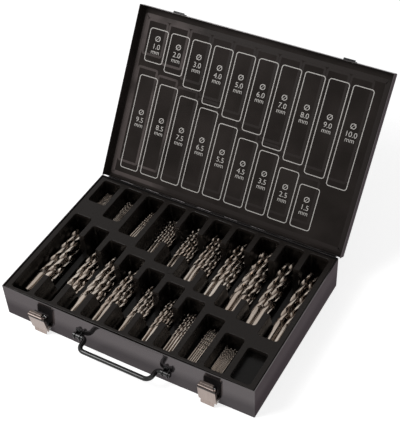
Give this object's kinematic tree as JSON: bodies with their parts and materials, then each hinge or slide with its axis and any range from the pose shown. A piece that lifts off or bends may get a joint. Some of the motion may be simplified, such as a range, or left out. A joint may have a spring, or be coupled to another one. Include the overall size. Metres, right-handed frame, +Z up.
{
  "type": "drill bit storage case",
  "caption": "Flat hinged steel case with a moulded tray of size-graded pockets full of twist drills, a size chart in its lid, two draw latches and a wire handle.",
  "frame": {"origin": "centre of the base's underside, which stands on the bench", "axes": "+X to the right as seen from the latches, +Y back to the hinge, +Z up; the lid is stored open"},
  "size_m": [0.363, 0.4111, 0.2517],
  "materials": {
    "black_enamel": "semi-gloss black stoving enamel",
    "tray_plastic": "black, semi-gloss",
    "tool_steel": "ground bright high-speed steel",
    "nickel": "satin nickel plate",
    "zinc_steel": "bright zinc plate",
    "handle_lacquer": "gloss black",
    "chart_ink": "off-white printed lines and numbers inside the lid"
  },
  "bodies": {
    "case_base": {"base_pan": "black_enamel", "insert_tray": "tray_plastic", "drills_1_0_mm": "tool_steel", "drills_2_0_mm": "tool_steel", "drills_3_0_mm": "tool_steel", "drills_4_0_mm": "tool_steel", "drills_5_0_mm": "tool_steel", "drills_6_0_mm": "tool_steel", "drills_7_0_mm": "tool_steel", "drills_8_0_mm": "tool_steel", "drills_9_0_mm": "tool_steel", "drills_10_0_mm": "tool_steel", "drills_9_5_mm": "tool_steel", "drills_8_5_mm": "tool_steel", "drills_7_5_mm": "tool_steel", "drills_6_5_mm": "tool_steel", "drills_5_5_mm": "tool_steel", "drills_4_5_mm": "tool_steel", "drills_3_5_mm": "tool_steel", "drills_2_5_mm": "tool_steel", "drills_1_5_mm": "tool_steel", "latch_bracket_left": "handle_lacquer", "latch_pin_left": "zinc_steel", "handle_bracket_left": "handle_lacquer", "latch_bracket_right": "handle_lacquer", "latch_pin_right": "zinc_steel", "handle_bracket_right": "handle_lacquer", "hinge_base_leaf": "black_enamel", "hinge_pin": "zinc_steel", "latch_rivets": "zinc_steel", "handle_rivets": "handle_lacquer"},
    "lid": {"lid_pan": "black_enamel", "hinge_lid_leaf": "black_enamel", "lid_strike_left": "black_enamel", "lid_strike_right": "black_enamel", "strike_rivets": "black_enamel"},
    "left_latch": {"latch_lever_left": "nickel"},
    "right_latch": {"latch_lever_right": "nickel"},
    "handle": {"handle_bail": "handle_lacquer"}
  },
  "joints": [
    {"name": "lid_hinge", "type": "hinge", "parent": "case_base", "child": "lid", "pos_m": [0, 0.1225, 0.0444], "axis": [-1, 0, 0], "range_deg": [-124, 0]},
    {"name": "left_latch_hinge", "type": "hinge", "parent": "case_base", "child": "left_latch", "pos_m": [-0.1217, -0.1226, 0.011], "axis": [1, 0, 0], "range_deg": [-8.2, 21.8]},
    {"name": "right_latch_hinge", "type": "hinge", "parent": "case_base", "child": "right_latch", "pos_m": [0.1217, -0.1226, 0.011], "axis": [1, 0, 0], "range_deg": [-3.6, 26.4]},
    {"name": "handle_hinge", "type": "hinge", "parent": "case_base", "child": "handle", "pos_m": [0, -0.124, 0.0233], "axis": [-1, 0, 0], "range_deg": [-78, 78]}
  ]
}
